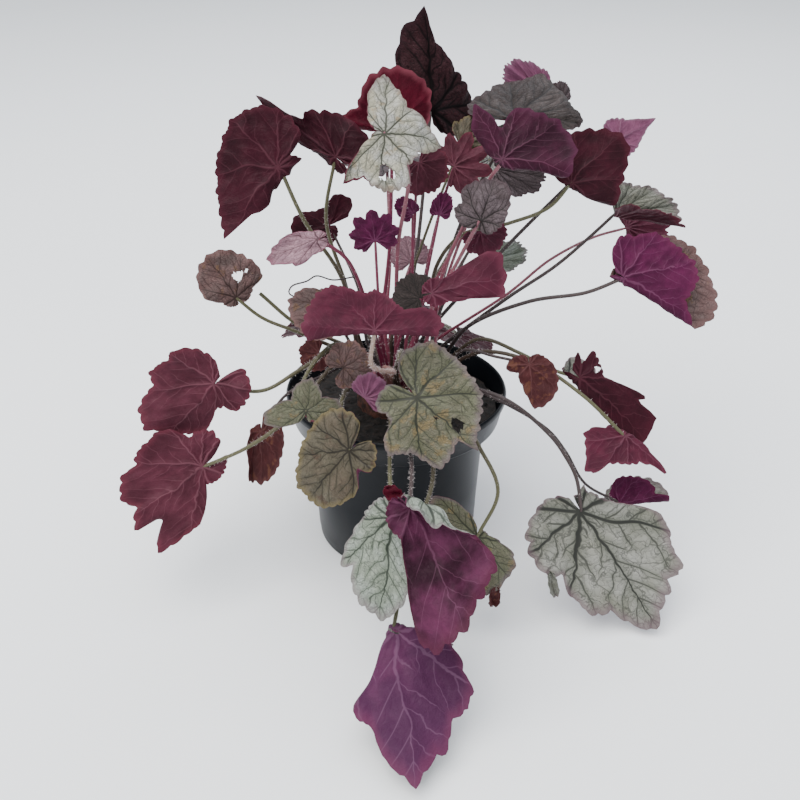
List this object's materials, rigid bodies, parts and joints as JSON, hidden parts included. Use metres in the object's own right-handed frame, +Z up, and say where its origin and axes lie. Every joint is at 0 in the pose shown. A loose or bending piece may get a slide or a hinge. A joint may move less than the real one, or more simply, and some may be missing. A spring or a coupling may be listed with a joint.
{
  "type": "heuchera plant in a nursery pot",
  "caption": "Heuchera with long-stalked, lobed, wine and silver leaves hanging over a round black plastic nursery pot of compost.",
  "frame": {"origin": "centre of the pot's flat underside, on the surface that the pot stands on", "axes": "+Z up along the pot's axis, -Y towards the side where the lowest leaf hangs down to the surface, +X to the right as seen from there"},
  "size_m": [0.3318, 0.3405, 0.2989],
  "materials": {
    "pot_plastic": "satin",
    "compost": "crumbly",
    "crown_wood": "rough",
    "leaf_silver": "satin, dark veins, wine underside",
    "leaf_olive": "satin, dark veins, wine underside",
    "leaf_wine": "satin, pale pink veins",
    "leaf_pink": "satin",
    "petiole_green": "downy"
  },
  "bodies": {
    "root": {"pot": "pot_plastic", "compost": "compost", "crown": "crown_wood", "petiole_bare": "petiole_green", "leaf_top_dark": "leaf_olive", "leaf_red_round": "leaf_wine", "leaf_silver_top": "leaf_silver", "leaf_wine_hanging": "leaf_wine", "leaf_wine_behind": "leaf_wine", "leaf_withered_small": "leaf_olive", "leaf_upper_left_arch": "leaf_wine", "leaf_upper_left_wine": "leaf_wine", "leaf_purple_right": "leaf_wine", "leaf_dark_arch": "leaf_olive", "leaf_pink_top": "leaf_pink", "leaf_bud_top": "leaf_wine", "leaf_right_dark": "leaf_wine", "leaf_right_pink": "leaf_pink", "leaf_right_silver": "leaf_silver", "leaf_right_pink_low": "leaf_pink", "leaf_right_purple": "leaf_wine", "leaf_silver_right": "leaf_silver", "leaf_silver_centre": "leaf_silver", "leaf_wine_fold": "leaf_wine", "leaf_pale_small": "leaf_silver", "leaf_wine_right": "leaf_wine", "leaf_dark_centre": "leaf_silver", "leaf_magenta_small": "leaf_pink", "leaf_magenta_middle": "leaf_pink", "leaf_wine_young": "leaf_wine", "leaf_young_back": "leaf_pink", "leaf_maroon_left": "leaf_wine", "leaf_pink_left": "leaf_pink", "leaf_wine_centre": "leaf_wine", "leaf_front_big": "leaf_olive", "leaf_magenta_front": "leaf_pink", "leaf_brown_rim": "leaf_olive", "leaf_bronze_left": "leaf_olive", "leaf_russet_rim": "leaf_wine", "leaf_olive_small": "leaf_olive", "leaf_olive_big": "leaf_olive", "leaf_left_brown": "leaf_olive", "leaf_left_wine_high": "leaf_wine", "leaf_left_wine_low": "leaf_wine", "leaf_left_russet": "leaf_wine", "leaf_right_russet": "leaf_wine", "leaf_right_wine_high": "leaf_wine", "leaf_right_wine_low": "leaf_wine", "leaf_right_small": "leaf_silver", "leaf_right_big_silver": "leaf_silver", "leaf_front_silver": "leaf_silver", "leaf_front_plum": "leaf_wine", "leaf_front_right_silver": "leaf_silver", "leaf_lowest_plum": "leaf_wine", "leaf_back_right_high": "leaf_silver", "leaf_back_high": "leaf_silver", "leaf_back_left_low": "leaf_silver", "leaf_back_low": "leaf_silver", "leaf_back_right_low": "leaf_silver"}
  },
  "joints": []
}
